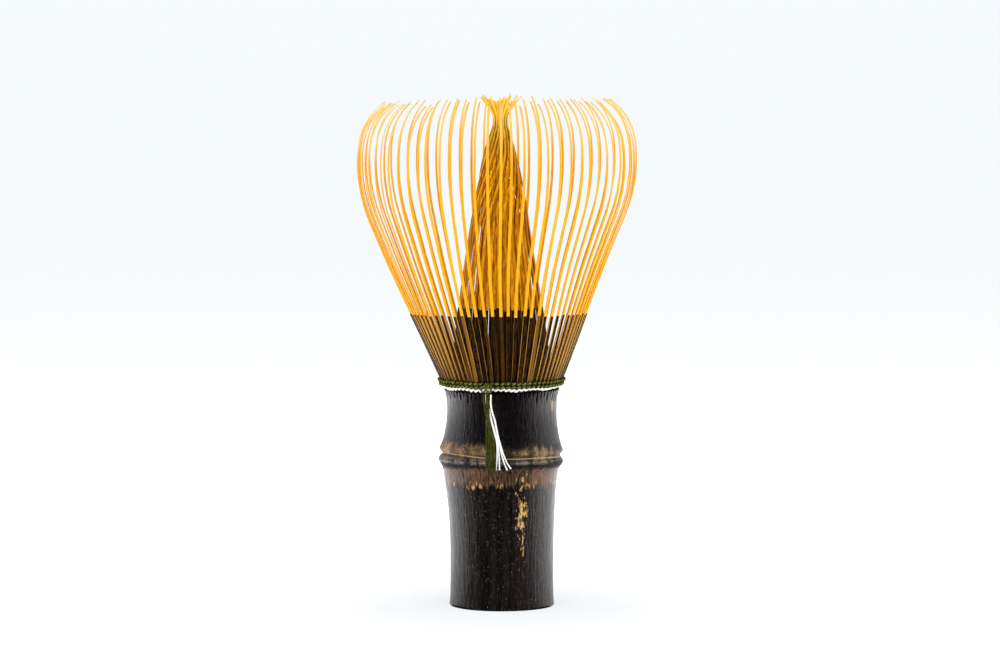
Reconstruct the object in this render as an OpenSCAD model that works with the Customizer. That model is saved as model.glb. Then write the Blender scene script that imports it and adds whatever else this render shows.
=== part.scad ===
// Bamboo tea whisk, standing on its foot.
// Millimetres, +Z up, the origin at the middle of the foot. The knot and the thread ends face -Y.

/* [Handle] */
// Height of the handle, from the foot to the crown that the tines are split from
handle_h = 49.4; // [48:0.2:49.4]
// Radius of the culm at its slimmest, near the foot
culm_r = 11.6; // [11:0.1:11.7]
// Radius at the waist, above the node
waist_r = 12.4; // [12:0.1:12.8]
// Height of the node's lower ridge
node_z = 33; // [32:0.5:34]
// How far the lower ridge stands out
ridge = 0.7; // [0.3:0.05:0.8]
// Radius of the hollow in the foot
bore_r = 8.7; // [7.5:0.1:9]
// Radius of the hollow above the node
crown_bore_r = 9; // [8:0.1:9.6]
// Thickness of the wall that closes the culm at the node
septum_t = 2.6; // [1.6:0.2:4]

/* [Tines] */
// Tines in each twelfth of the circle, outside and inside alike
tines_per_sector = 6; // [3:3:6]
// Width of a tine at its root
tine_w = 0.74; // [0.6:0.02:0.8]
// Thickness of an outer tine at its root
root_t = 0.8; // [0.6:0.05:0.9]
// Thickness of a tine at its tip
tip_t = 0.26; // [0.2:0.02:0.3]
// How far the outer tines lean out from the lacing, in degrees
lean = 23; // [20:0.5:25]
// Straight length of an outer tine, before it curls in
straight_l = 41; // [36:0.5:46]

/* [Lacing] */
// Thickness of a twined row
row_t = 0.35; // [0.3:0.05:0.5]
// Height of one green row
row_h = 0.75; // [0.6:0.05:0.75]
// Diameter of a green thread end
green_d = 0.4; // [0.3:0.05:0.4]
// Diameter of a white thread end
white_d = 0.34; // [0.26:0.02:0.34]

/* [Hidden] */
$fn = 96;
SECTORS = 12;
sector_a = 360 / SECTORS;
pitch = sector_a / tines_per_sector;

// The culm's outline: the internode below widens towards the node, the one above narrows to a waist.
waist_z = node_z + 11.5;
septum_z = node_z - 0.6;
swell = 1.45; // how far the lower internode has widened at swell_z
swell_z = node_z - 2;
flare = 0.0192; // per millimetre, how fast the culm widens away from the waist
ridge_w = 1.1;
foot_flare = 0.3;
foot_fade = 1.8;
chamfer = 0.3;

// Outer tines: the outer face starts here, and each leg is [length, turn inwards in degrees, steps].
tine_z = 49.7;
outer_r = 13.18;
outer_legs = [[straight_l, 0, 5], [17.3, 30, 5], [11.4, 50, 8]];
outer_tip_w = 0.5;
outer_fade = 12;

// Inner tines: a long shallow curve in to the neck, then a flare out to the tuft. Towards the neck
// they lie in layers, because a single ring of them would not fit round it.
inner_z = 50.4;
inner_r = 11.48;
inner_root_t = 0.6;
inner_tip_w = 0.26;
inner_fade = 20;
inner_lean = -3.5;
inner_curve = [58.9, 10.5, 6];
LAYERS = 3;
layer_lean = 0.44;
flare_r = 3.3;
flare_a = [50, 38, 22];
tuft_l = [4.4, 4.2, 4.6];

// Lacing: rows follow the lean of the tines and stay a little off them.
row_gap = 0.2;
green_row_z = 50.1;
row_step = 0.8;
white_row_z = 49.5;
white_row_h = 0.5;
inner_row_r = 11.78;
inner_row_w = 0.5;
inner_row_h = 1.2;
knot_r = 0.75;
knot_at = [-3.3, -14.72, 50.2];

// Thread ends, from the knot down over the node.
green_ends = [
    [[-4.1, -14.5, 49.2], [-4.3, -14.2, 47], [-4.2, -14, 44], [-4.1, -13.9, 41], [-4, -13.9, 38],
     [-3.9, -13.95, 36], [-3.8, -14, 34], [-3.6, -13.9, 32], [-3.5, -13.8, 30.5]],
    [[-3.6, -14.6, 49.2], [-3.8, -14.4, 47], [-3.7, -14.25, 44], [-3.5, -14.15, 41], [-3.3, -14.1, 38],
     [-3.2, -14.15, 36], [-3, -14.2, 34], [-2.8, -14.1, 32], [-2.7, -14, 30.7]],
    [[-3.1, -14.7, 49.2], [-3.3, -14.5, 47], [-3.2, -14.4, 44], [-3, -14.3, 41], [-2.8, -14.3, 38],
     [-2.6, -14.3, 36], [-2.4, -14.35, 34], [-2.2, -14.3, 32], [-2, -14.2, 30.6]],
    [[-2.6, -14.8, 49.2], [-2.8, -14.6, 47], [-2.7, -14.5, 44], [-2.4, -14.4, 41], [-2.2, -14.4, 38],
     [-2, -14.4, 36], [-1.8, -14.45, 34], [-1.7, -14.4, 32], [-1.55, -14.3, 30.4]],
];
white_ends = [
    [[-2.1, -14.6, 49.2], [-2.2, -14.4, 47], [-1.9, -14.35, 44], [-1.5, -14.4, 41], [-0.9, -14.8, 38],
     [-0.2, -14.8, 36], [0.4, -14.75, 34], [0.9, -14.6, 32.5], [1.4, -14.45, 31.1]],
    [[-1.6, -14.6, 49.2], [-1.7, -14.4, 47], [-1.45, -14.35, 44], [-1.05, -14.4, 41], [-0.45, -14.8, 38],
     [0.4, -14.8, 36], [1.1, -14.7, 34], [1.7, -14.55, 32.5], [2.2, -14.4, 31.5]],
    [[-3.6, -13.95, 49.2], [-3.5, -13.6, 47], [-2.9, -13.6, 44], [-2, -14, 41], [-1.2, -14.4, 38],
     [-1.1, -14.45, 36], [-1, -14.5, 34], [-1, -14.45, 32.5], [-0.95, -14.4, 30.9]],
    [[-3, -14, 49.2], [-3, -13.7, 47], [-2.4, -13.75, 44], [-1.5, -14, 41], [-0.7, -14.4, 38],
     [-0.6, -14.45, 36], [-0.55, -14.5, 34], [-0.45, -14.45, 32.5], [-0.35, -14.4, 31.2]],
];

function two(i) = str(i < 10 ? "0" : "", i);
function outer_name(i) = str("outer_tines_", two(i));
function inner_name(i) = str("inner_tines_", two(i));

// ---- Handle ----

function culm_radius(z) =
    min(culm_r + swell * pow(z / swell_z, 3.3), waist_r + flare * pow(z - waist_z, 2))
    + ridge * exp(-pow((z - node_z) / ridge_w, 2))
    + foot_flare * exp(-z / foot_fade);

// Heights at which the outline is drawn: every 1.5 mm, and three times as often round the node.
function outline_heights(step = 1.5, near = 3.5) = [
    for (z = [chamfer : step / 3 : handle_h])
        if (abs(z - node_z - 1) < near || (z - chamfer) % step < 0.01 || step - (z - chamfer) % step < 0.01) z];

module handle() {
    color("#2b211a") rotate_extrude()
        polygon(concat(
            [[bore_r, septum_z], [bore_r, 0], [culm_radius(0) - chamfer, 0]],
            [for (z = outline_heights()) [culm_radius(z), z]],
            [[culm_radius(handle_h), handle_h], [crown_bore_r, handle_h],
             [crown_bore_r, septum_z + septum_t], [0, septum_z + septum_t], [0, septum_z]]));
}

// ---- Tines ----

// A point on a leg: p and the result are [radius, height, heading], the heading in degrees out from +Z.
function leg_point(p, leg, f) =
    leg[1] == 0
    ? [p[0] + f * leg[0] * sin(p[2]), p[1] + f * leg[0] * cos(p[2]), p[2]]
    : let (r = leg[0] / leg[1] * 180 / PI, h = p[2] - f * leg[1])
      [p[0] + r * (cos(h) - cos(p[2])), p[1] + r * (sin(p[2]) - sin(h)), h];

function path(p, legs, i = 0) =
    i == len(legs)
    ? [p]
    : concat([for (k = [0:legs[i][2] - 1]) leg_point(p, legs[i], k / legs[i][2])],
             path(leg_point(p, legs[i], 1), legs, i + 1));

// The tine's side view: its outer face along the path, and its inner face a thickness inwards.
function side_view(way, root, fade) = concat(
    [for (p = way) [p[0], p[1]]],
    [for (i = [len(way) - 1:-1:0])
        let (p = way[i], t = tip_t + (root - tip_t) * exp(-(p[1] - way[0][1]) / fade))
        [p[0] - t * cos(p[2]), p[1] + t * sin(p[2])]]);

module tine(way, root, fade, tip_w) {
    top = max([for (p = way) p[1]]) + 1;
    foot = way[0][1] - 1;
    intersection() {
        rotate([90, 0, 0]) linear_extrude(tine_w + 1, center = true)
            polygon(side_view(way, root, fade));
        rotate([90, 0, 90]) linear_extrude(50)
            polygon([[-tine_w / 2, foot], [tine_w / 2, foot], [tip_w / 2, top], [-tip_w / 2, top]]);
    }
}

// Each twelfth starts half a pitch past its edge, counted anticlockwise from +X.
function tine_angle(sector, k) = (sector - 1) * sector_a + (k + 0.5) * pitch;

module outer_tines(sector) {
    way = path([outer_r, tine_z, lean], outer_legs);
    color("#e9a32b") for (k = [0:tines_per_sector - 1])
        rotate([0, 0, tine_angle(sector, k)]) tine(way, root_t, outer_fade, outer_tip_w);
}

function inner_path(layer) =
    path([inner_r, inner_z, inner_lean - layer_lean * layer],
         [inner_curve, [flare_r * flare_a[layer] * PI / 180, -flare_a[layer], 5], [tuft_l[layer], 0, 1]]);

module inner_tines(sector) {
    color("#c98a22") for (k = [0:tines_per_sector - 1])
        rotate([0, 0, tine_angle(sector, k)])
            tine(inner_path(k % LAYERS), inner_root_t, inner_fade, inner_tip_w);
}

// ---- Lacing ----

// A row round the outer tines, from height z, a thickness of thread outside their faces.
module row(z, h) {
    face = outer_r + row_gap;
    r_low = face + (z - tine_z) * tan(lean);
    r_high = face + (z + h - tine_z) * tan(lean);
    rotate_extrude()
        polygon([[r_low, z], [r_low + row_t, z], [r_high + row_t, z + h], [r_high, z + h]]);
}

module green_row_lower() { color("#4f5a22") row(green_row_z, row_h); }

module green_row_upper() { color("#4f5a22") row(green_row_z + row_step, row_h); }

module white_row() { color("#f4f2ea") row(white_row_z, white_row_h); }

// The green thread where it passes between the outer and the inner tines.
module inner_lacing() {
    color("#4f5a22") translate([0, 0, green_row_z]) rotate_extrude()
        translate([inner_row_r, 0]) square([inner_row_w, inner_row_h]);
}

module knot() { color("#4f5a22") translate(knot_at) sphere(knot_r); }

// ---- Thread ends ----

THREAD_SIDES = 8;

function direction(way, i) =
    let (a = way[max(i - 1, 0)], b = way[min(i + 1, len(way) - 1)]) (b - a) / norm(b - a);

// Corners of the ring at each point of the route, square to it.
function rings(way, d) = [
    for (i = [0:len(way) - 1])
        let (t = direction(way, i), u = cross(t, [0, 1, 0]) / norm(cross(t, [0, 1, 0])), v = cross(t, u))
        for (k = [0:THREAD_SIDES - 1])
            let (a = 360 * k / THREAD_SIDES) way[i] + d / 2 * (cos(a) * u + sin(a) * v)];

module thread(way, d) {
    n = THREAD_SIDES;
    last = (len(way) - 1) * n;
    polyhedron(
        points = rings(way, d),
        faces = concat(
            [[for (k = [0:n - 1]) k]],
            [[for (k = [n - 1:-1:0]) last + k]],
            [for (i = [0:len(way) - 2], k = [0:n - 1])
                let (a = i * n + k, b = i * n + (k + 1) % n) [a, a + n, b + n, b]]));
}

module green_end(i) { color("#5a662a") thread(green_ends[i - 1], green_d); }

module white_end(i) { color("#fbfaf5") thread(white_ends[i - 1], white_d); }

handle();
for (i = [1:SECTORS]) outer_tines(i);
for (i = [1:SECTORS]) inner_tines(i);
green_row_lower();
green_row_upper();
inner_lacing();
white_row();
knot();
for (i = [1:len(green_ends)]) green_end(i);
for (i = [1:len(white_ends)]) white_end(i);
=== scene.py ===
"""The looks of a bamboo tea whisk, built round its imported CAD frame. Metres, +Z up, the knot faces -Y."""
import math
import random

import bpy
import numpy as np
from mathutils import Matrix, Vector


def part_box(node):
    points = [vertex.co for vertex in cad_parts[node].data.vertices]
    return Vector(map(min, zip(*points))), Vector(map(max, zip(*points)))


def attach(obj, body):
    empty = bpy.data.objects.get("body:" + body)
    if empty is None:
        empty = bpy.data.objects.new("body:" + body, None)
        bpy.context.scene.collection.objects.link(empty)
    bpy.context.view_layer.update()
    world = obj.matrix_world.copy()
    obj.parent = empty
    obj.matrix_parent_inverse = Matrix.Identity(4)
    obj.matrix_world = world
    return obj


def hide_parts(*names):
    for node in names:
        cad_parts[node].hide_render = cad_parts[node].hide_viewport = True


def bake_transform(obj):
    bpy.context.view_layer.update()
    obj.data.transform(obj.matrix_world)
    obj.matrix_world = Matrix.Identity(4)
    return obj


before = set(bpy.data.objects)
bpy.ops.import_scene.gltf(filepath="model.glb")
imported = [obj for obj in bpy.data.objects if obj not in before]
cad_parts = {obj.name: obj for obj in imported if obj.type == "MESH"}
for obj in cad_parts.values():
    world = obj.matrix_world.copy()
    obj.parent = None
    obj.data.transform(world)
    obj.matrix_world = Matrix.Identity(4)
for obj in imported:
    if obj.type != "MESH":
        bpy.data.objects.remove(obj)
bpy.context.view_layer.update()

MM = 0.001
PI = math.pi
rng = random.Random(72)

# ---- Sizes, in millimetres unless they say otherwise ----

# These are as in the CAD, but for the inner tines: their curve is 0.7 mm longer and their ends are 0.6 mm
# shorter here.
HANDLE_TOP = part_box("handle")[1][2] / MM
SECTORS = 12
TINES = 72
PITCH = 2 * PI / TINES
PER_SECTOR = TINES // SECTORS

NODE_Z = 33.0
WAIST_Z = 44.5
BORE_R = 8.7
CROWN_BORE_R = 9.0
SEPTUM_LOW = 32.4
SEPTUM_HIGH = 35.0

# An outer tine: where it starts, its lean outwards, and its legs as (length, turn inwards in degrees).
ROOT_R = 13.18
ROOT_Z = 49.7
LEAN = math.radians(23)
OUTER_LEGS = [(41.0, 0.0), (17.3, 30.0), (11.4, 50.0)]

# An inner tine: its start, its long inward curve, the neck, and for each layer its lean in degrees at the
# start, its flare in degrees above the neck, and the length of its end.
INNER_R = 11.48
INNER_Z = 50.4
INNER_CURVE = (59.6, 10.5)
NECK_CURL_R = 3.3
INNER_LAYERS = [(-3.5, 50, 3.8), (-3.94, 38, 3.6), (-4.38, 22, 4.0)]

# Only the looks have these: how far round from the CAD's the tines stand, how far their roots run on below
# the CAD's into the crown, and the skin that they keep.
TINE_TURN = math.radians(-1.5)
OUTER_ROOT = 0.7
INNER_ROOT = 1.2
SKIN_T = 0.11
OUTER_SKIN_LENGTH = 18.0
INNER_SKIN_LENGTH = 17.4


# ---- Camera ----

def make_camera():
    """A long lens 0.9 m away, a little above the whisk and tilted down to its middle."""
    data = bpy.data.cameras.new("camera")
    camera = bpy.data.objects.new("camera", data)
    bpy.context.collection.objects.link(camera)
    place = Vector((-0.35, -910, 126)) * MM
    target = Vector((-0.35, 0, 61.8)) * MM
    camera.location = place
    camera.rotation_euler = (target - place).to_track_quat("-Z", "Y").to_euler()
    frame_width = 226.5 * MM
    data.sensor_width = 36
    data.lens = data.sensor_width * (target - place).length / frame_width
    data.clip_start = 0.01
    data.clip_end = 20
    bpy.context.scene.camera = camera


make_camera()


# ---- Materials ----

def rgb(r, g, b):
    """A colour as it looks on screen, 0 to 255, turned into the linear values that the shader takes."""
    def linear(c):
        c /= 255
        return c / 12.92 if c <= 0.04045 else ((c + 0.055) / 1.055) ** 2.4
    return (linear(r), linear(g), linear(b), 1.0)


class Shader:
    """A material's node tree, with short calls for the nodes used here. x, y and z are in millimetres."""

    def __init__(self, name, roughness=0.5, specular=0.5):
        self.material = bpy.data.materials.new(name)
        self.material.use_nodes = True
        self.tree = self.material.node_tree
        self.bsdf = self.tree.nodes["Principled BSDF"]
        self.bsdf.inputs["Roughness"].default_value = roughness
        self.bsdf.inputs["Specular IOR Level"].default_value = specular
        coords = self.tree.nodes.new("ShaderNodeTexCoord")
        self.place = self.scaled(coords.outputs["Object"], (1 / MM, 1 / MM, 1 / MM))
        parts = self.tree.nodes.new("ShaderNodeSeparateXYZ")
        self.link(self.place, parts.inputs[0])
        self.x, self.y, self.z = parts.outputs

    def link(self, source, socket):
        """Puts a node's output, or a plain value, into a socket."""
        if hasattr(source, "is_output"):
            self.tree.links.new(source, socket)
        else:
            socket.default_value = source

    def scaled(self, vector, scale):
        node = self.tree.nodes.new("ShaderNodeVectorMath")
        node.operation = "MULTIPLY"
        self.link(vector, node.inputs[0])
        node.inputs[1].default_value = scale
        return node.outputs[0]

    def math(self, operation, a, b=0.0, c=0.0):
        node = self.tree.nodes.new("ShaderNodeMath")
        node.operation = operation
        for value, socket in zip((a, b, c), node.inputs):
            self.link(value, socket)
        return node.outputs[0]

    def plus(self, a, b):
        return self.math("ADD", a, b)

    def times(self, a, b):
        return self.math("MULTIPLY", a, b)

    def times_plus(self, a, b, c):
        return self.math("MULTIPLY_ADD", a, b, c)

    def distance(self, x, y):
        """How far a point lies from the upright axis."""
        return self.math("SQRT", self.plus(self.times(x, x), self.times(y, y)))

    def noise(self, scale, stretch=(1, 1, 1), detail=3.0, rough=0.55, shift=0.0):
        """Noise in millimetres: stretch squeezes an axis, so (1, 1, 0.05) draws upright streaks."""
        node = self.tree.nodes.new("ShaderNodeTexNoise")
        node.noise_dimensions = "4D"
        self.link(self.scaled(self.place, stretch), node.inputs["Vector"])
        node.inputs["W"].default_value = shift
        node.inputs["Scale"].default_value = scale
        node.inputs["Detail"].default_value = detail
        node.inputs["Roughness"].default_value = rough
        return node.outputs["Fac"]

    def smooth(self, value, low, high):
        """0 below low, 1 above high, and a smooth step between them."""
        node = self.tree.nodes.new("ShaderNodeMapRange")
        node.interpolation_type = "SMOOTHSTEP"
        for key, source in (("Value", value), ("From Min", low), ("From Max", high)):
            self.link(source, node.inputs[key])
        return node.outputs["Result"]

    def band(self, value, low, high, soft):
        """1 between low and high, with soft edges."""
        return self.times(self.smooth(value, low - soft, low + soft),
                          self.math("SUBTRACT", 1.0, self.smooth(value, high - soft, high + soft)))

    def mix(self, amount, a, b):
        """Colour a where amount is 0, b where it is 1."""
        node = self.tree.nodes.new("ShaderNodeMix")
        node.data_type = "RGBA"
        self.link(amount, node.inputs["Factor"])
        self.link(a, node.inputs[6])
        self.link(b, node.inputs[7])
        return node.outputs[2]

    def attribute(self, name):
        node = self.tree.nodes.new("ShaderNodeAttribute")
        node.attribute_name = name
        return node.outputs["Fac"]

    def bump(self, height, distance, strength=1.0):
        node = self.tree.nodes.new("ShaderNodeBump")
        node.inputs["Distance"].default_value = distance
        node.inputs["Strength"].default_value = strength
        self.link(height, node.inputs["Height"])
        self.link(node.outputs[0], self.bsdf.inputs["Normal"])

    def set(self, name, value):
        self.link(value, self.bsdf.inputs[name])


def flesh_material(name, deep, bright, tip, root):
    """Split bamboo flesh: amber, with long fibres, and paler to the tips as painted light. Some tines are
    lighter or darker.
    """
    s = Shader(name, roughness=0.45, specular=0.08)
    fibres = s.noise(2.6, (1, 1, 0.035), detail=4)
    patches = s.noise(0.5, (1, 1, 0.12), detail=2, shift=4)
    own = s.attribute("tone")
    base = s.mix(s.smooth(fibres, 0.3, 0.7), deep, bright)
    base = s.mix(s.times(s.smooth(patches, 0.45, 0.75), 0.45), base, deep)
    base = s.mix(s.times(s.smooth(own, 0.5, 1.0), 0.5), base, bright)
    base = s.mix(s.times(s.smooth(own, 0.45, 0.0), 0.5), base, deep)
    # Painted light: the tips turn pale, as if lit through the thin wood and from above.
    base = s.mix(s.times(s.smooth(s.z, 99.0, 114.0), 0.95), base, tip)
    # Painted shade: brown between the inner tines where they cross at the neck.
    neck = s.times(s.band(s.z, 103.0, 110.5, 1.5), s.smooth(fibres, 0.4, 0.6))
    inner = s.smooth(s.distance(s.x, s.y), 7.0, 4.0)
    base = s.mix(s.times(s.times(neck, inner), 0.6), base, rgb(120, 60, 0))
    # Darker towards the lacing, and nearly black under it, the last as painted shade where the roots run in
    # under the threads into the crown.
    base = s.mix(s.smooth(s.z, 68.5, 63.0), base, root)
    base = s.mix(s.times(s.smooth(s.z, 57.0, 50.0), 0.5), base, rgb(92, 60, 18))
    base = s.mix(s.smooth(s.z, 50.6, 50.0), base, rgb(30, 20, 12))
    s.set("Base Color", base)
    s.bump(fibres, 0.00002, 0.5)
    return s.material


def skin_material(name, bright, pale):
    """The culm's dark skin, left on the lower part of each tine. Some tines are paler, some darker."""
    s = Shader(name, roughness=0.45, specular=0.04)
    streaks = s.noise(3.0, (1, 1, 0.03), detail=4)
    own = s.attribute("tone")
    base = s.mix(s.smooth(streaks, 0.35, 0.7), rgb(4, 2, 1), bright)
    base = s.mix(s.times(s.smooth(own, 0.5, 1.0), 0.65), base, pale)
    base = s.mix(s.times(s.smooth(own, 0.3, 0.0), 0.6), base, rgb(14, 7, 3))
    # Painted shade: nearly black where the roots run in under the threads into the crown.
    base = s.mix(s.smooth(s.z, 50.7, 50.1), base, rgb(10, 6, 4))
    s.set("Base Color", base)
    s.bump(streaks, 0.00002, 0.6)
    return s.material


class CulmShader(Shader):
    """The smoked skin of the culm: above is the height over the tilted node, lip that over its ridge."""

    def __init__(self):
        super().__init__("culm_skin", roughness=0.3, specular=0.5)
        self.above = self.attribute("above_node")
        self.lip = self.times_plus(self.x, -0.032, self.plus(self.above, -0.62))
        self.front = self.smooth(self.y, -4.0, -6.0)
        self.fine = self.noise(2.6, (1, 1, 0.025), detail=6, rough=0.65)
        self.broad = self.noise(0.5, (1, 1, 0.10), detail=4, shift=2)
        self.rag = self.noise(1.0, (1, 1, 0.05), detail=5, rough=0.6, shift=7)
        blotches = self.noise(3.0, (1, 1, 0.8), detail=6, rough=0.75, shift=6)
        self.mottle = self.times_plus(self.math("SUBTRACT", self.broad, 0.5), 0.7, blotches)

    def dark_skin(self):
        """Near black, with fine fibres and broad brown stripes, and plain black above the node."""
        stripes = self.noise(0.42, (1, 1, 0.02), detail=2, shift=19)
        base = self.mix(self.smooth(self.fine, 0.42, 0.66), rgb(6, 4, 3), rgb(22, 16, 13))
        base = self.mix(self.times(self.smooth(stripes, 0.46, 0.66), 0.5), base, rgb(38, 27, 23))
        return self.mix(self.times(self.smooth(self.above, 1.5, 5.0), 0.9), base, rgb(3, 2, 2))

    def warm_band(self, base):
        """Below the node: a warm brown band that ends in ragged fibres, golden at their lower ends."""
        ragged = self.times_plus(self.rag, 4.6, self.plus(self.above, -2.3))
        warm = self.mix(self.smooth(self.fine, 0.40, 0.62), rgb(34, 21, 12), rgb(110, 80, 50))
        warm = self.mix(self.times(self.smooth(self.broad, 0.46, 0.68), 0.6), warm, rgb(128, 78, 50))
        faded = self.smooth(self.math("ABSOLUTE", self.plus(self.x, -2.5)), 5.0, 1.0)
        band = self.times(self.band(ragged, -4.75, -1.0, 0.6), self.times_plus(faded, -0.3, 0.9))
        base = self.mix(band, base, warm)
        tongues = self.smooth(self.noise(1.7, (1, 1, 0.2), detail=3, shift=12), 0.54, 0.62)
        tongues = self.times(self.band(ragged, -5.15, -4.15, 0.35), tongues)
        return self.mix(self.times(tongues, 0.75), base, rgb(214, 160, 88))

    def ridge(self, base):
        """Painted shadow under the ridge, deeper on the left, the worn ridge itself, and a painted highlight
        along its lower shoulder.
        """
        # Painted shadow in the groove under the ridge, deeper on the left.
        dark_side = self.smooth(self.x, 4.0, -3.0)
        under = self.times(self.band(self.lip, -1.5, -0.6, 0.2), self.times_plus(dark_side, 0.25, 0.7))
        base = self.mix(under, base, rgb(12, 9, 9))
        worn = self.mix(self.smooth(self.mottle, 0.42, 0.62), rgb(9, 6, 4), rgb(116, 100, 82))
        base = self.mix(self.times(self.band(self.lip, -0.7, 0.9, 0.3), 0.85), base, worn)
        # Painted highlight: a broken pale line along the ridge's lower shoulder.
        edge = self.times(self.band(self.lip, -0.4, -0.1, 0.12), self.smooth(self.mottle, 0.46, 0.58))
        return self.mix(self.times(edge, 0.35), base, rgb(176, 166, 154))

    def brown_zone(self, base):
        """Above the ridge: mottled brown with a few golden spots. Its ragged top edge dips in the middle."""
        rough_edge = self.noise(1.3, (1, 1, 0.10), detail=5, rough=0.6, shift=11)
        climb = self.times_plus(rough_edge, 4.0, self.plus(self.above, -2.0))
        brown = self.mix(self.smooth(self.mottle, 0.36, 0.64), rgb(10, 6, 3), rgb(160, 124, 80))
        patch = self.smooth(self.noise(0.28, (1, 1, 0.2), detail=2, shift=15), 0.36, 0.6)
        middle = self.smooth(self.math("ABSOLUTE", self.plus(self.x, -1.5)), 6.5, 2.0)
        top = self.times_plus(middle, 0.8, self.times_plus(self.x, 0.02, self.plus(climb, 0.35)))
        zone = self.times(self.smooth(climb, 0.9, 2.5), self.smooth(top, 5.1, 3.3))
        base = self.mix(self.times(zone, self.times_plus(patch, 0.5, 0.5)), base, brown)
        gold = self.times(self.band(climb, 1.5, 3.2, 0.5), self.smooth(self.mottle, 0.6, 0.66))
        return self.mix(self.times(gold, patch), base, rgb(206, 168, 84))

    def scar_line(self, base):
        line = self.band(self.attribute("above_scar"), -0.08, 0.1, 0.06)
        return self.mix(self.times(line, self.smooth(self.rag, 0.25, 0.45)), base, rgb(186, 146, 96))

    def flakes(self, base):
        """A worn streak down the front, right of the middle, that breaks into flakes."""
        wander = self.noise(0.16, (0, 0, 1), detail=3, shift=3)
        sideways = self.times_plus(wander, 2.4, self.plus(self.x, -5.7))
        reach = self.times_plus(self.smooth(self.z, 16.5, 19.5), 0.9, 0.9)
        near = self.math("SUBTRACT", 1.0, self.smooth(self.math("ABSOLUTE", sideways), 0.2, reach))
        dense = 0.02
        stretches = ((18.4, 25.0, 1.0, 0.13), (13.8, 16.6, 0.3, 0.09), (25.5, 30.0, 0.6, 0.045))
        for low, high, soft, more in stretches:
            dense = self.times_plus(self.band(self.z, low, high, soft), more, dense)
        dense = self.times_plus(self.smooth(self.z, 13.5, 9.0), -0.04, dense)
        grain = self.noise(1.9, (1, 1, 0.34), detail=3, rough=0.62, shift=5)
        worn = self.smooth(self.times_plus(near, dense, grain), 0.615, 0.63)
        inside = self.times(self.smooth(near, 0.02, 0.1), self.band(self.z, 7.5, 31.0, 1.0))
        gold = self.mix(self.smooth(self.fine, 0.4, 0.6), rgb(170, 124, 56), rgb(226, 186, 116))
        return self.mix(self.times(self.times(worn, inside), self.front), base, gold)

    def nick(self, base):
        """A short golden scratch near the top, at the right of the front."""
        nick = self.times(self.band(self.x, 11.25, 11.6, 0.08), self.band(self.z, 44.8, 47.0, 0.4))
        nick = self.times(nick, self.times(self.front, self.smooth(self.mottle, 0.42, 0.55)))
        return self.mix(nick, base, rgb(196, 150, 52))

    def specks(self, base):
        """Pale specks of dust and worn skin, fainter above the node."""
        specks = self.smooth(self.noise(4.2, (1, 1, 1), detail=1, shift=9), 0.68, 0.71)
        specks = self.times(specks, self.times_plus(self.smooth(self.above, 2.0, 5.0), -0.45, 0.6))
        return self.mix(specks, base, rgb(172, 162, 148))


def culm_material():
    """Smoked culm skin with a thin gloss, duller round the node and dull in the groove under its ridge."""
    s = CulmShader()
    base = s.dark_skin()
    for layer in (s.warm_band, s.ridge, s.brown_zone, s.scar_line, s.flakes, s.nick, s.specks):
        base = layer(base)
    s.set("Base Color", base)
    dull = s.times_plus(s.band(s.above, -0.9, 4.5, 0.6), 0.25, 0.23)
    dull = s.times_plus(s.band(s.lip, -1.9, -0.5, 0.3), 0.45, dull)
    s.set("Roughness", s.times_plus(s.smooth(s.fine, 0.35, 0.7), 0.2, dull))
    s.bsdf.inputs["Specular Tint"].default_value = (1.0, 0.9, 0.87, 1)
    s.bsdf.inputs["Coat Weight"].default_value = 0.13
    s.bsdf.inputs["Coat Roughness"].default_value = 0.15
    s.bump(s.plus(s.fine, s.times(s.plus(s.attribute("fibre"), s.mottle), 0.3)), 0.00015, 0.8)
    return s.material


def end_grain_material():
    """Cut bamboo: tan, with the dark dots of the vessels packed closer towards the skin."""
    s = Shader("end_grain", roughness=0.7, specular=0.2)
    cells = s.tree.nodes.new("ShaderNodeTexVoronoi")
    cells.inputs["Scale"].default_value = 2.2
    s.link(s.scaled(s.place, (1, 1, 0.2)), cells.inputs["Vector"])
    dots = s.math("SUBTRACT", 1.0, s.smooth(cells.outputs["Distance"], 0.16, 0.3))
    base = s.mix(s.noise(1.2, detail=4), rgb(176, 136, 88), rgb(208, 172, 120))
    base = s.mix(s.times(dots, 0.7), base, rgb(92, 60, 34))
    base = s.mix(s.smooth(s.z, 30.0, 40.0), base, rgb(44, 29, 17))
    s.set("Base Color", base)
    s.bump(dots, 0.00003, 0.6)
    return s.material


def pith_material():
    """The hollow's lining: pale, dry and papery."""
    s = Shader("culm_lining", roughness=0.8, specular=0.2)
    fibres = s.noise(1.6, (1, 1, 0.06), detail=4)
    s.set("Base Color", s.mix(fibres, rgb(150, 112, 72), rgb(206, 172, 126)))
    s.bump(fibres, 0.00006, 0.7)
    return s.material


def thread_material(name, dark, light, crepe):
    """Twisted thread with fuzz across it, and painted shade: dark in its hollows, between its plies, and
    where it runs in between the tines.
    """
    s = Shader(name, roughness=0.8, specular=0.02)
    ply_shade = s.attribute("ply_shade")
    fuzz = s.noise(4.5, detail=3, rough=0.7)
    shade = s.times_plus(s.math("SUBTRACT", fuzz, 0.5), crepe, ply_shade)
    s.set("Base Color", s.mix(s.smooth(shade, 0.1, 0.9), dark, light))
    s.bump(fuzz, 0.00008, 0.6)
    return s.material


OUTER_FLESH = flesh_material("outer_flesh", deep=rgb(221, 150, 4), bright=rgb(241, 175, 30),
                             tip=rgb(242, 203, 111), root=rgb(240, 186, 87))
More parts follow.
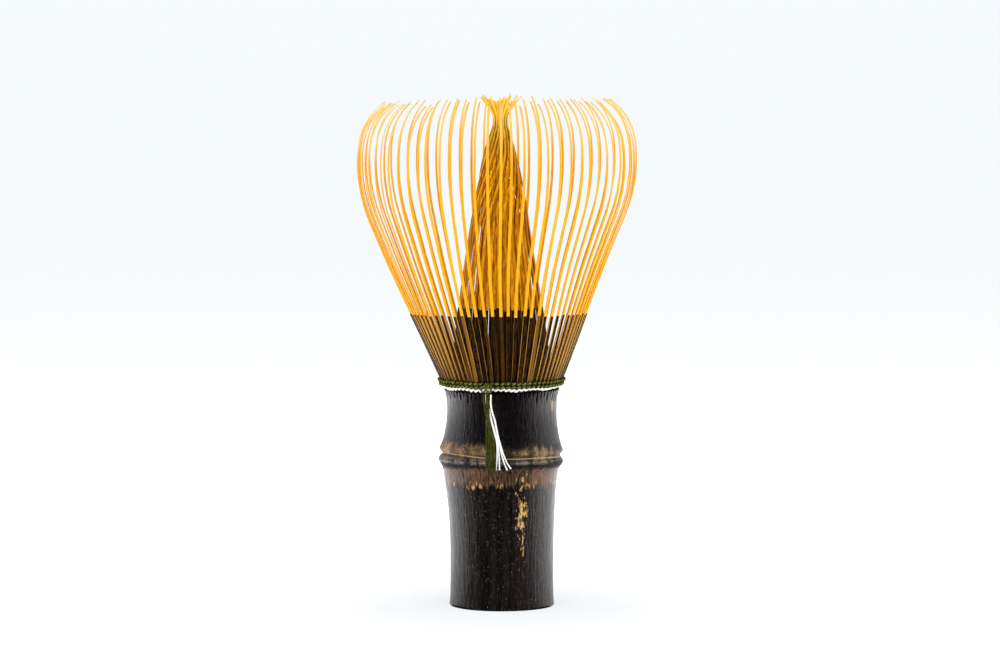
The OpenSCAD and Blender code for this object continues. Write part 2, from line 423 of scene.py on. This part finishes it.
# The inner tines' flesh is the same amber, with darker deeps and root as painted shade inside the cone.
SHADED_INNER_FLESH = flesh_material("shaded_inner_flesh", deep=rgb(118, 54, 0), bright=rgb(243, 165, 2),
                             tip=rgb(253, 202, 64), root=rgb(128, 82, 22))
OUTER_SKIN = skin_material("tine_skin", rgb(66, 41, 11), rgb(140, 100, 38))
INNER_SKIN = skin_material("inner_tine_skin", rgb(40, 23, 6), rgb(56, 34, 11))
CULM = culm_material()
END_GRAIN = end_grain_material()
PITH = pith_material()
GREEN = thread_material("green_thread", rgb(7, 7, 0), rgb(122, 124, 60), crepe=3.2)
WHITE = thread_material("white_thread", rgb(196, 194, 190), rgb(255, 254, 250), crepe=0.5)


# ---- Meshes ----

def make_piece(name, points, faces, materials, face_slots=None, floats=None):
    """A mesh object from points in millimetres, with its materials and any per-point numbers."""
    mesh = bpy.data.meshes.new(name)
    mesh.from_pydata((np.asarray(points) * MM).tolist(), [], faces)
    for material in materials:
        mesh.materials.append(material)
    if face_slots is not None:
        mesh.polygons.foreach_set("material_index", face_slots)
    for key, values in (floats or {}).items():
        mesh.attributes.new(key, "FLOAT", "POINT").data.foreach_set("value", np.asarray(values, np.float32))
    mesh.polygons.foreach_set("use_smooth", [True] * len(mesh.polygons))
    mesh.update()
    piece = bpy.data.objects.new(name, mesh)
    bpy.context.collection.objects.link(piece)
    return piece


def lofted(rings, sides):
    """Faces that join rings of points one after another, with both ends closed."""
    faces = []
    for i in range(rings - 1):
        for k in range(sides):
            a = i * sides + k
            b = i * sides + (k + 1) % sides
            faces.append((a, b, b + sides, a + sides))
    faces.append(tuple(range(sides - 1, -1, -1)))
    last = (rings - 1) * sides
    faces.append(tuple(range(last, last + sides)))
    return faces


def ease(value, low, high):
    """0 below low, 1 above high, and a smooth step between them."""
    f = np.clip((value - low) / (high - low), 0, 1)
    return f * f * (3 - 2 * f)


def bell(value, middle, width):
    """A bump of height 1 at the middle that has faded two widths away."""
    return np.exp(-((value - middle) / width) ** 2)


def arc_lengths(way):
    """How far along a way each of its points lies."""
    return np.concatenate([[0], np.cumsum(np.linalg.norm(np.diff(way, axis=0), axis=1))])


def spin(r, z, azimuth):
    """Points at a radius and a height, turned round the whisk's axis."""
    return np.stack([r * np.cos(azimuth), r * np.sin(azimuth), z], axis=1)


def along(point, legs, step):
    """Points on a path of straights and arcs: rows of radius, height and heading out from +Z, in radians.
    A leg is (length, turn inwards in degrees)."""
    rows = [point]
    for length, turn in legs:
        count = max(2, round(length / step))
        for _ in range(count):
            r, z, h = rows[-1]
            bend = math.radians(turn) / count
            middle = h - bend / 2
            part = length / count
            rows.append((r + part * math.sin(middle), z + part * math.cos(middle), h - bend))
    return np.array(rows)


# ---- Tines ----

SECTION = 10
CHAMFER = 0.06


def slat(centres, outward, width, thickness, skin_rings, tone):
    """One tine: a chamfered slat whose outer face runs through the centres. The first skin_rings rings keep
    the culm's skin, which ends in a small step. Returns points, faces, a material slot for each face and the
    tone of each point."""
    tangent = np.gradient(centres, axis=0)
    tangent /= np.linalg.norm(tangent, axis=1)[:, None]
    outward = outward - (outward * tangent).sum(1)[:, None] * tangent
    outward /= np.linalg.norm(outward, axis=1)[:, None]
    across = np.cross(tangent, outward)
    points = []
    for i, centre in enumerate(centres):
        half = width[i] / 2
        inner_half = half * 0.94
        top = 0.0 if i < skin_rings else SKIN_T
        deep = max(thickness[i], top + 0.14)
        under = max(SKIN_T, top + CHAMFER + 0.01)
        outline = [(-half + CHAMFER, top), (0, top - 0.02), (half - CHAMFER, top), (half, top + CHAMFER),
                   (half, under), (inner_half, deep - CHAMFER), (inner_half - CHAMFER, deep),
                   (-inner_half + CHAMFER, deep), (-inner_half, deep - CHAMFER), (-half, under)]
        for u, v in outline:
            points.append(centre + across[i] * u - outward[i] * v)
    outer_faces = (0, 1, 2, 3, 9)
    slots = []
    for i in range(len(centres) - 1):
        for k in range(SECTION):
            slots.append(1 if i < skin_rings and k in outer_faces else 0)
    slots += [0, 0]
    return points, lofted(len(centres), SECTION), slots, [tone] * len(points)


def join_slats(name, slats, materials):
    """One mesh of several slats."""
    points, faces, slots, tones = [], [], [], []
    for p, f, s, t in slats:
        shift = len(points)
        faces += [tuple(shift + i for i in face) for face in f]
        points += p
        slots += s
        tones += t
    return make_piece(name, points, faces, materials, slots, {"tone": tones})


def with_skin_step(rows, skin_at):
    """Inserts the step at the skin's end: two rings almost in one place. Returns the rows and how many of
    them keep the skin."""
    s = arc_lengths(rows[:, :2])
    i = int(np.searchsorted(s, skin_at))
    f = (skin_at - s[i - 1]) / (s[i] - s[i - 1])
    row = rows[i - 1] * (1 - f) + rows[i] * f
    step = rows[i] - rows[i - 1]
    after = row + step / np.linalg.norm(step[:2]) * 0.03
    return np.vstack([rows[:i], row, after, rows[i:]]), i + 1


def crown_lean(z):
    """The crown sits a millimetre off the handle's axis, towards -X."""
    return -1.0 * ease(z, 50, 80)


def outer_thickness(z):
    """An outer tine is shaved from 0.8 mm at its root to 0.27 mm at its tip."""
    return 0.27 + 0.53 * np.exp(-(z - ROOT_Z) / 12)


def outer_slat(azimuth):
    """One outer tine: straight out from the lacing, then curled in over the top. Each is split by hand, so
    all differ a little, and those on the right stand a millimetre higher."""
    right = 0.5 + 0.5 * math.cos(azimuth)
    # Its own lean, lengths and curls.
    lean = LEAN + math.radians(rng.gauss(0, 0.12) - 0.7 * right)
    straight = OUTER_LEGS[0][0] + rng.gauss(0, 0.3) + 0.9 * right
    curl = OUTER_LEGS[1][1] + rng.gauss(0, 0.5)
    hook = OUTER_LEGS[2][1] + rng.gauss(0, 1.3)
    start = (ROOT_R - OUTER_ROOT * math.sin(lean), ROOT_Z - OUTER_ROOT * math.cos(lean), lean)
    end = OUTER_LEGS[2][0] + rng.gauss(0, 0.25)
    rows = along(start, [(OUTER_ROOT + straight, 0.0), (OUTER_LEGS[1][0], curl), (end, hook)], step=1.2)
    skin = OUTER_SKIN_LENGTH - 0.55 * math.sin(azimuth) + rng.gauss(0, 0.16)
    rows, skin_rings = with_skin_step(rows, OUTER_ROOT + skin)
    s = arc_lengths(rows[:, :2])
    f = s / s[-1]
    # It sways and bows a little sideways, and twists about its own length.
    sway = rng.gauss(0, 0.007)
    bow = rng.gauss(0, 0.003)
    turn = azimuth + sway * f ** 1.5 + bow * np.sin(PI * f)
    centres = spin(rows[:, 0], rows[:, 1], turn)
    centres[:, 0] += crown_lean(rows[:, 1])
    outward = spin(np.cos(rows[:, 2]), -np.sin(rows[:, 2]), turn)
    twist = rng.gauss(0, 0.12) * f
    sideways = np.stack([-np.sin(turn), np.cos(turn), np.zeros_like(turn)], axis=1)
    outward = outward * np.cos(twist)[:, None] + sideways * np.sin(twist)[:, None]
    # It narrows from 0.74 mm at the root to 0.49 mm at the tip.
    wide = rng.uniform(0.93, 1.06)
    width = (0.74 - 0.06 * np.minimum(f * 2, 1) - 0.19 * np.maximum(f * 2 - 1, 0) ** 1.5) * wide
    width *= 1 + 0.02 * np.sin(s * 0.5 + rng.uniform(0, 6))
    width[-1] *= 0.8
    return slat(centres, outward, width, outer_thickness(rows[:, 1]), skin_rings, rng.random())


def inner_slat(azimuth, layer):
    """One inner tine: drawn in to the neck with a slow twist, past its neighbours, and out into the tuft."""
    lean, flare, tail = INNER_LAYERS[layer]
    lean += rng.gauss(0, 0.1)
    start = (INNER_R + INNER_ROOT * math.sin(math.radians(3.5)), INNER_Z - INNER_ROOT, math.radians(lean))
    neck = (NECK_CURL_R * math.radians(flare), -flare)
    rows = along(start, [(INNER_ROOT, 0.0), INNER_CURVE, neck, (tail + rng.gauss(0, 0.35), 0.0)], step=1.0)
    rows, skin_rings = with_skin_step(rows, INNER_ROOT + INNER_SKIN_LENGTH + rng.gauss(0, 0.16))
    z = rows[:, 1]
    swirl = ease(z, 84, 112) * math.radians(64)
    swirl = swirl + np.clip((z - 98) / 12, 0, 1) ** 2 * math.radians((0, -14, 12)[layer])
    # The ends gather in five clumps.
    clump = np.clip((z - 104) / 7, 0, 1)
    tip = azimuth + swirl[-1]
    turn = azimuth + swirl - clump * 0.19 * math.sin(5 * tip + 0.6)
    # The cone is drawn in, most of all at the neck.
    squeeze = 1 - 0.055 * np.clip((z - 52) / 28, 0, 1) - 0.20 * bell(z, 109.6, 3.7)
    turn = turn + rng.gauss(0, 0.02) * np.sin(PI * np.clip((z - 50) / 55, 0, 1))
    centres = spin(rows[:, 0] * squeeze, z, turn)
    s = arc_lengths(rows[:, :2])
    centres[:, 0] += 0.35 * crown_lean(z)
    outward = spin(np.cos(rows[:, 2]), -np.sin(rows[:, 2]), turn)
    f = s / s[-1]
    width = (0.70 - 0.04 * f - 0.30 * np.clip(f * 2.2 - 1.2, 0, 1)) * rng.uniform(0.94, 1.04)
    thickness = 0.26 + 0.34 * np.exp(-(z - INNER_Z) / 20)
    return slat(centres, outward, width, thickness, skin_rings, rng.random())


def sector_azimuths(sector):
    """Where a sector's tines stand round the whisk."""
    return [(sector * PER_SECTOR + k + 0.5) * PITCH + TINE_TURN for k in range(PER_SECTOR)]


def make_sector(row, sector, slats, materials):
    """Six tines as one piece, in place of their CAD part."""
    number = f"{sector + 1:02d}"
    piece = join_slats(f"{row}_slats_{number}", slats, materials)
    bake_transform(piece)
    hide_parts(f"{row}_tines_{number}")


def make_tines():
    """All the outer tines, and then all the inner ones, sector by sector."""
    for sector in range(SECTORS):
        slats = [outer_slat(azimuth + rng.gauss(0, 0.003)) for azimuth in sector_azimuths(sector)]
        make_sector("outer", sector, slats, [OUTER_FLESH, OUTER_SKIN])
    for sector in range(SECTORS):
        azimuths = enumerate(sector_azimuths(sector))
        slats = [inner_slat(azimuth, k % len(INNER_LAYERS)) for k, azimuth in azimuths]
        make_sector("inner", sector, slats, [SHADED_INNER_FLESH, INNER_SKIN])


make_tines()


# ---- Culm ----

COLUMNS = 720
GRAIN_ROWS = 40


def culm_radius(z):
    """The CAD outline of the culm, a little fuller at the crown, where the split wood spreads."""
    lower = 11.6 + 1.45 * (np.maximum(z, 0) / (NODE_Z - 2)) ** 3.3
    upper = 12.4 + 0.0192 * (z - WAIST_Z) ** 2 + 0.16 * np.clip((z - 47) / 2.4, 0, 1) ** 2
    return np.minimum(lower, upper) + 0.7 * bell(z, NODE_Z, 1.1) + 0.3 * np.exp(-z / 1.8)


def culm_heights():
    """The heights of the outside's rings, closest together round the node."""
    parts = [[0.0, 0.12, 0.3], np.arange(0.6, 30, 0.8), np.arange(30, 38, 0.12), np.arange(38, 45.5, 0.6),
             np.arange(45.5, 49.45, 0.2)]
    return sorted(set(np.round(np.concatenate(parts), 3)))


def cut_slits(r, z, slit_low):
    """Splits in a ring of the culm, one between each two tines, that open from their lowest point up."""
    turned = round(TINE_TURN / (2 * PI) * COLUMNS)
    for k in range(TINES):
        if z > slit_low[k]:
            column = k * COLUMNS // TINES + turned
            depth = min(1.1, (z - slit_low[k]) * 0.9)
            for side, share in ((0, 1.0), (1, 0.45), (-1, 0.45)):
                r[(column + side) % COLUMNS] -= share * depth


def culm_outside(angle):
    """The outside, slightly out of round, with fine upright fibres, a tilted node with its scar line, and
    slits between the roots of the tines. Returns the points, and for each its height above the node, its
    height above the scar and how far it stands out with the fibres."""
    tilt = -0.3 * np.cos(angle) - 0.3 * np.sin(angle) + 0.06 * np.sin(3 * angle + 1)
    scar_z = 34.68 - 0.48 * np.cos(angle) + 0.1 * np.sin(4 * angle - 1.36)
    draw = np.random.default_rng(5)
    grain = draw.normal(0, 1, (GRAIN_ROWS, COLUMNS))
    grain = (grain + np.roll(grain, 1, 1) + np.roll(grain, 2, 1)) / 3
    slit_low = draw.uniform(46.6, 48.3, TINES)
    points, above, above_scar, fibre = [], [], [], []
    for z in culm_heights():
        local = z - tilt * bell(z, 34, 7)
        scar = z - scar_z
        g = z / 49.4 * (GRAIN_ROWS - 2)
        i = int(g)
        streak = grain[i] * (1 - g + i) + grain[i + 1] * (g - i)
        r = culm_radius(local)
        r = r + 0.10 * np.cos(2 * angle + 1.1) + 0.06 * np.cos(3 * angle)
        r = r + 0.016 * streak
        # The groove between the two lips of the node, and the scar's raised line with a dent under it.
        r = r - 0.42 * bell(local, 34.55, 0.5) + 0.12 * bell(local, 35.7, 0.7)
        r = r + 0.10 * bell(scar, 0.02, 0.16) - 0.10 * bell(scar, -0.3, 0.16)
        if z < 0.3:
            r = r - 0.3 * (1 - z / 0.3)
        cut_slits(r, z, slit_low)
        ring = spin(r, np.full(COLUMNS, z), angle)
        # The culm bows a little to -X under the node.
        ring[:, 0] -= 0.28 * bell(z, 30, 6.5)
        points += ring.tolist()
        above += (local - NODE_Z).tolist()
        above_scar += scar.tolist()
        fibre += (streak * 0.5 + 0.5).tolist()
    return points, above, above_scar, fibre


def make_culm():
    """The handle: its outside, the hollow above the septum, and the hollow foot."""
    skin_slot, end_slot, lining_slot = 0, 1, 2
    angle = np.arange(COLUMNS) * 2 * PI / COLUMNS
    points, above, above_scar, fibre = culm_outside(angle)
    rings = len(culm_heights())
    inside = [(10.2, HANDLE_TOP), (CROWN_BORE_R, HANDLE_TOP - 0.1), (CROWN_BORE_R, SEPTUM_HIGH + 0.6),
              (CROWN_BORE_R - 0.6, SEPTUM_HIGH), (4, SEPTUM_HIGH - 0.25)]
    underneath = [(3, SEPTUM_LOW + 0.25), (BORE_R - 0.8, SEPTUM_LOW), (BORE_R, SEPTUM_LOW - 0.8), (BORE_R, 6),
                  (BORE_R, 0.15), (BORE_R + 0.15, 0)]
    for r, z in inside + underneath:
        points += spin(np.full(COLUMNS, float(r)), np.full(COLUMNS, float(z)), angle).tolist()
    hidden = (len(inside) + len(underneath)) * COLUMNS
    above += [20.0] * hidden
    above_scar += [20.0] * hidden
    fibre += [0.5] * hidden
    # Each ring is joined to the next, and the last to the first, but not through the septum.
    faces, slots = [], []
    total = rings + len(inside) + len(underneath)
    septum = rings + len(inside) - 1
    cut_ends = (rings - 1, total - 1)
    for i in range(total):
        if i == septum:
            continue
        low, high = i * COLUMNS, (i + 1) % total * COLUMNS
        slot = end_slot if i in cut_ends else skin_slot if i < rings else lining_slot
        for k in range(COLUMNS):
            m = (k + 1) % COLUMNS
            faces.append((low + k, low + m, high + m, high + k))
            slots.append(slot)
    low = septum * COLUMNS
    faces.append(tuple(range(low, low + COLUMNS)))
    faces.append(tuple(range(low + 2 * COLUMNS - 1, low + COLUMNS - 1, -1)))
    slots += [lining_slot, lining_slot]
    piece = make_piece("culm", points, faces, [CULM, END_GRAIN, PITH], slots,
                       {"above_node": above, "above_scar": above_scar, "fibre": fibre})
    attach(piece, "handle")
    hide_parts("handle")


make_culm()


# ---- Threads ----

PLY_SIDES = 10


def smooth_route(way, step):
    """A Catmull-Rom curve through given points, at an even spacing."""
    way = np.asarray(way, float)
    padded = np.vstack([2 * way[0] - way[1], way, 2 * way[-1] - way[-2]])
    fine = []
    for i in range(1, len(padded) - 2):
        for t in np.linspace(0, 1, 20, endpoint=False):
            a, b, c, d = padded[i - 1], padded[i], padded[i + 1], padded[i + 2]
            fine.append(0.5 * (2 * b + (c - a) * t + (2 * a - 5 * b + 4 * c - d) * t * t
                               + (3 * b - a - 3 * c + d) * t ** 3))
    fine = np.vstack([fine, way[-1]])
    s = arc_lengths(fine)
    even = np.linspace(0, s[-1], max(2, round(s[-1] / step)))
    return np.stack([np.interp(even, s, fine[:, k]) for k in range(3)], axis=1)


def twisted_tube(way, d, plies=2, lay=1.3, depth=0.2, closed=False):
    """A thread along way: its plies twist round each other once in lay millimetres. Returns points, faces and
    how high on its plies each point lies, which the thread's colour turns into painted shade."""
    way = np.asarray(way, float)
    n = len(way)
    tangent = np.roll(way, -1, 0) - np.roll(way, 1, 0) if closed else np.gradient(way, axis=0)
    tangent /= np.linalg.norm(tangent, axis=1)[:, None]
    side = np.cross(tangent[0], (0.3, 0.2, 1.0))
    s = arc_lengths(way)
    turns = s / lay
    if closed:
        turns = np.arange(n) / n * round(s[-1] / lay * plies) / plies
    theta = np.arange(PLY_SIDES) * 2 * PI / PLY_SIDES
    points, ply_shade = [], []
    for i in range(n):
        side = side - side.dot(tangent[i]) * tangent[i]
        side /= np.linalg.norm(side)
        other = np.cross(tangent[i], side)
        wave = np.cos(plies * (theta - 2 * PI * turns[i]))
        reach = d / 2 * (1 - depth + depth * wave)
        ring = way[i] + np.outer(np.cos(theta) * reach, side) + np.outer(np.sin(theta) * reach, other)
        points += ring.tolist()
        ply_shade += (0.5 + 0.5 * wave).tolist()
    if closed:
        faces = []
        for i in range(n):
            for k in range(PLY_SIDES):
                j, m = (i + 1) % n, (k + 1) % PLY_SIDES
                faces.append((i * PLY_SIDES + k, i * PLY_SIDES + m, j * PLY_SIDES + m, j * PLY_SIDES + k))
    else:
        faces = lofted(n, PLY_SIDES)
    return points, faces, ply_shade


def make_threads(name, tubes, material, node):
    """One piece of thread from its tubes, in place of its CAD node."""
    points, faces, ply_shade = [], [], []
    for p, f, h in tubes:
        faces += [tuple(len(points) + i for i in face) for face in f]
        points += p
        ply_shade += h
    piece = make_piece(name, points, faces, [material], None, {"ply_shade": ply_shade})
    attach(piece, "handle")
    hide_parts(node)


def twined_row(z, d, rise, bulge, flat, wave, tilt, dark, seed):
    """Two strands of diameter d that wrap every tine between them and cross in each gap, as in basket
    twining. A strand climbs and drops by rise at each crossing, and its middle stands out of the wood by
    bulge diameters. A low flat makes tight, square stitches, a high one round beads. wave lifts and drops
    the row round the handle, and tilt slopes it up to +X. dark says how fast the painted shade on the
    thread deepens on its way in between the tines."""
    draw = random.Random(seed)
    outer = ROOT_R + (z - ROOT_Z) * math.tan(LEAN)
    wood = outer_thickness(z)
    middle = outer - wood / 2
    reach = wood / 2 + d * bulge
    steps = TINES * 14
    sag = [draw.gauss(0, 0.04) for _ in range(TINES)]
    plump = [draw.uniform(-0.06, 0.06) for _ in range(TINES)]
    start = TINE_TURN / PITCH
    tubes = []
    for strand in (0, 1):
        way = []
        for i in range(steps):
            phase = i / steps * TINES
            angle = (phase + start) * PITCH
            beat = PI * (phase - 0.5) + PI * strand
            swing = math.cos(beat)
            swing *= math.sqrt((1 + flat) / (swing * swing + flat))
            k = int(phase)
            drop = sag[k] * (1 - phase + k) + sag[(k + 1) % TINES] * (phase - k)
            drop -= wave * math.cos(10 * (angle - math.radians(247)))
            r = middle + swing * (reach + plump[k] * math.sin(PI * (phase - k)))
            way.append((r * math.cos(angle), r * math.sin(angle),
                        z + rise * math.sin(beat) + drop + tilt * math.cos(angle)))
        points, faces, ply_shade = twisted_tube(way, d, lay=1.0, depth=0.14, closed=True)
        # Painted shade: the thread's colour darkens in the hollows of its plies and as it runs in between the
        # tines.
        reached = np.hypot(*np.array(points)[:, :2].T)
        lit = np.clip((reached - middle - 0.1) / (reach + d / 2 - 0.1), 0, 1)
        tubes.append((points, faces, ((np.array(ply_shade) * 0.4 + 0.6) * lit ** dark).tolist()))
    return tubes


def level_ring(r, z, d, wave):
    """A ring of thread that weaves in and out between the two rows of tines."""
    steps = TINES * 8
    way = []
    for i in range(steps):
        angle = i / steps * 2 * PI
        reach = r + wave * math.cos(angle * TINES / 2)
        way.append((reach * math.cos(angle), reach * math.sin(angle), z + 0.05 * math.sin(angle * 7)))
    return twisted_tube(way, d, closed=True)


def knot_loop(middle, size, turn, lift):
    """One loop of the knot: an oval, turned in its plane, that bulges and dips by lift."""
    way = []
    for i in range(48):
        t = i / 48 * 2 * PI
        u, v = size * math.cos(t), size * 0.8 * math.sin(t)
        way.append((middle[0] + u * math.cos(turn) - v * math.sin(turn),
                    middle[1] - lift * math.cos(2 * t + 0.5),
                    middle[2] + u * math.sin(turn) + v * math.cos(turn)))
    return way


# The thread ends, from the knot down to their cut ends.
GREEN_ENDS = [
    [(-4.05, -14.55, 49.2), (-3.85, -14.4, 47), (-3.55, -14.2, 45), (-3.4, -14.1, 43), (-3.36, -14.05, 40),
     (-3.36, -14.1, 36), (-3.36, -14.15, 33), (-3.32, -14, 31.8)],
    [(-3.35, -14.75, 49.2), (-3.15, -14.6, 47), (-3.0, -14.4, 45), (-2.92, -14.3, 43), (-2.84, -14.2, 40),
     (-2.8, -14.2, 36), (-2.78, -14.25, 33), (-2.76, -14.05, 31.7)],
    [(-3.1, -14.4, 49.2), (-3.3, -14.15, 47), (-3.32, -14, 45), (-3.1, -13.98, 43), (-2.66, -14, 41),
     (-2.32, -14.1, 39), (-2.22, -14.2, 36), (-2.22, -14.3, 33), (-2.22, -14.15, 31.6)],
    [(-2.7, -14.6, 49.2), (-2.9, -14.35, 47), (-3.0, -14.2, 45), (-2.75, -14.2, 43), (-2.2, -14.25, 41),
     (-1.75, -14.3, 39), (-1.52, -14.4, 36), (-1.48, -14.5, 33), (-1.5, -14.3, 31.8)],
]
GREEN_WIDTHS = [0.5, 0.5, 0.72, 0.76]
WHITE_ENDS = [
    [(-2.46, -14.6, 49.2), (-2.44, -14.6, 47), (-2.16, -14.6, 45.3), (-1.6, -14.65, 43.5),
     (-1.14, -14.75, 41.2), (-0.74, -14.8, 39.2), (-0.42, -14.8, 37.8), (0.02, -14.9, 35.8),
     (0.6, -14.8, 33.8), (1.25, -14.6, 32.2)],
    [(-2.38, -14.98, 49.2), (-2.36, -14.98, 47), (-2.06, -14.98, 45.3), (-1.5, -15.03, 43.5),
     (-1.04, -15.1, 41.2), (-0.6, -15.15, 39.2), (-0.2, -15.15, 37.8), (0.42, -15.1, 35.8),
     (1.2, -14.9, 33.9), (2.1, -14.7, 32.5)],
    [(-3.5, -13.7, 49.2), (-3.4, -13.6, 47), (-2.9, -13.7, 45.6), (-2.58, -14.1, 44.5),
     (-2.26, -14.6, 43.1), (-1.86, -14.78, 41.6), (-1.42, -14.74, 39.9), (-1.06, -14.6, 38.2),
     (-0.98, -14.55, 35.5), (-1.24, -14.4, 32.1)],
    [(-3.1, -13.4, 49.2), (-3.0, -13.3, 47), (-2.68, -13.4, 45.6), (-2.46, -13.8, 44.5),
     (-2.14, -14.25, 43.1), (-1.7, -14.42, 41.6), (-1.24, -14.36, 39.9), (-0.84, -14.4, 38.2),
     (-0.56, -14.5, 35.5), (-0.46, -14.4, 32.2)],
]
WHITE_WIDTH = 0.35


def make_rows():
    """The two green rows, the white one under them, and the green thread between the two rows of tines."""
    green_look = {"rise": 0.16, "flat": 1.5, "wave": 0.03, "tilt": 0.05, "dark": 2.9}
    white_look = {"rise": 0.20, "flat": 0.3, "wave": 0.14, "tilt": 0.14, "dark": 0.25}
    lower = twined_row(z=50.64, d=0.74, bulge=0.5, seed=1, **green_look)
    upper = twined_row(z=51.48, d=0.72, bulge=0.45, seed=2, **green_look)
    white = twined_row(z=50.1, d=0.64, bulge=0.14, seed=3, **white_look)
    make_threads("green_twining_lower", lower, GREEN, "green_row_lower")
    make_threads("green_twining_upper", upper, GREEN, "green_row_upper")
    make_threads("white_twining", white, WHITE, "white_row")
    turns = [level_ring(r=11.98, z=z, d=0.4, wave=0.05) for z in (50.4, 50.9)]
    make_threads("inner_thread", turns, GREEN, "inner_lacing")


def make_knot():
    """Three loops of green thread at the front of the lacing."""
    loops = [knot_loop((-4.0, -14.25, 50.25), size=0.62, turn=1.2, lift=0.3),
             knot_loop((-2.9, -14.5, 50.3), size=0.66, turn=-1.0, lift=0.3),
             knot_loop((-3.4, -14.6, 50.9), size=0.55, turn=0.2, lift=0.2)]
    knot = [twisted_tube(way, 0.46, closed=True) for way in loops]
    make_threads("thread_knot", knot, GREEN, "knot")


def make_thread_ends():
    """The four green and the four white ends that hang from the knot."""
    # Each end's colour takes painted shade from the hollows between its plies, the green ends held to the
    # darker half.
    for i, way in enumerate(GREEN_ENDS):
        way = smooth_route(way, 0.1)
        points, faces, ply_shade = twisted_tube(way, GREEN_WIDTHS[i], plies=3, lay=1.4, depth=0.2)
        tube = points, faces, [0.02 + 0.5 * h for h in ply_shade]
        make_threads(f"green_tail_{i + 1}", [tube], GREEN, f"green_end_{i + 1}")
    for i, way in enumerate(WHITE_ENDS):
        way = smooth_route(way, 0.1)
        points, faces, ply_shade = twisted_tube(way, WHITE_WIDTH, lay=1.2, depth=0.16)
        tube = points, faces, [0.5 + 0.5 * h for h in ply_shade]
        make_threads(f"white_tail_{i + 1}", [tube], WHITE, f"white_end_{i + 1}")


make_rows()
make_knot()
make_thread_ends()


# ---- Stage and light ----

FLOOR_R = 1200.0
CURVE_R = 800.0
WALL_TOP = 2200.0


def make_card(name, material, first, last):
    """A sector of the white bowl that the whisk stands in, between two angles in degrees from +X: a flat
    floor, a quarter circle up and a wall."""
    profile = [(0.0, 0.0), (300.0, 0.0), (FLOOR_R, 0.0)]
    for i in range(1, 17):
        a = i / 16 * PI / 2
        profile.append((FLOOR_R + CURVE_R * math.sin(a), CURVE_R - CURVE_R * math.cos(a)))
    profile.append((FLOOR_R + CURVE_R, WALL_TOP))
    steps = round((last - first) / 4)
    angle = np.radians(np.linspace(first, last, steps + 1))
    points, faces = [], []
    for r, z in profile:
        points += spin(np.full(steps + 1, r), np.full(steps + 1, z), angle).tolist()
    for i in range(len(profile) - 1):
        for k in range(steps):
            a = i * (steps + 1) + k
            b = a + steps + 1
            faces.append((a, b, b + 1, a + 1))
    card = make_piece(name, points, faces, [material])
    return card


def make_stage():
    """White card all round that glows: dimmer close to the whisk, as its soft shadow, white beyond, and a
    pale blue further off. The sector in front of the whisk isn't mirrored in its gloss, as if the room there
    were dark."""
    s = Shader("white_card", roughness=1.0, specular=0.0)
    near = s.distance(s.x, s.plus(s.y, 8.0))
    away = s.distance(s.x, s.y)
    glow = s.mix(s.smooth(near, 15.0, 170.0), (0.648, 0.668, 0.692, 1), (1.9, 1.92, 1.95, 1))
    glow = s.mix(s.smooth(away, 330.0, 720.0), glow, (0.72, 0.738, 0.74, 1))
    glow = s.mix(s.smooth(away, 680.0, 1500.0), glow, (0.662, 0.69, 0.708, 1))
    s.set("Base Color", (0.36, 0.36, 0.36, 1))
    s.set("Emission Color", glow)
    s.set("Emission Strength", 1.0)
    make_card("back_card", s.material, -18, 190)
    front = make_card("front_card", s.material, 190, 342)
    front.visible_glossy = False


def make_light(name, place, aim, size, power):
    """A soft box that neither the camera nor the gloss sees. Metres and watts."""
    data = bpy.data.lights.new(name, "AREA")
    data.shape = "RECTANGLE"
    data.size, data.size_y = size
    data.energy = power
    light = bpy.data.objects.new(name, data)
    light.location = place
    light.rotation_euler = (Vector(aim) - Vector(place)).to_track_quat("-Z", "Y").to_euler()
    light.visible_camera = False
    light.visible_glossy = False
    bpy.context.collection.objects.link(light)


def make_lighting():
    """Wide boxes at the sides, a little behind, light the edges; a box overhead in front fills the middle."""
    world = bpy.data.worlds.new("studio")
    bpy.context.scene.world = world
    world.use_nodes = True
    background = world.node_tree.nodes["Background"]
    background.inputs["Color"].default_value = (0.94, 0.97, 1.0, 1)
    background.inputs["Strength"].default_value = 0.05
    for name, x in (("left_box", -0.88), ("right_box", 0.88)):
        make_light(name, (x, 0.30, 0.12), (0, 0, 0.05), size=(0.8, 0.34), power=3.6)
    make_light("top_box", (0, -0.55, 1.2), (0, 0, 0.06), size=(0.9, 0.7), power=5.6)
    bpy.context.scene.view_settings.view_transform = "Standard"


make_stage()
make_lighting()
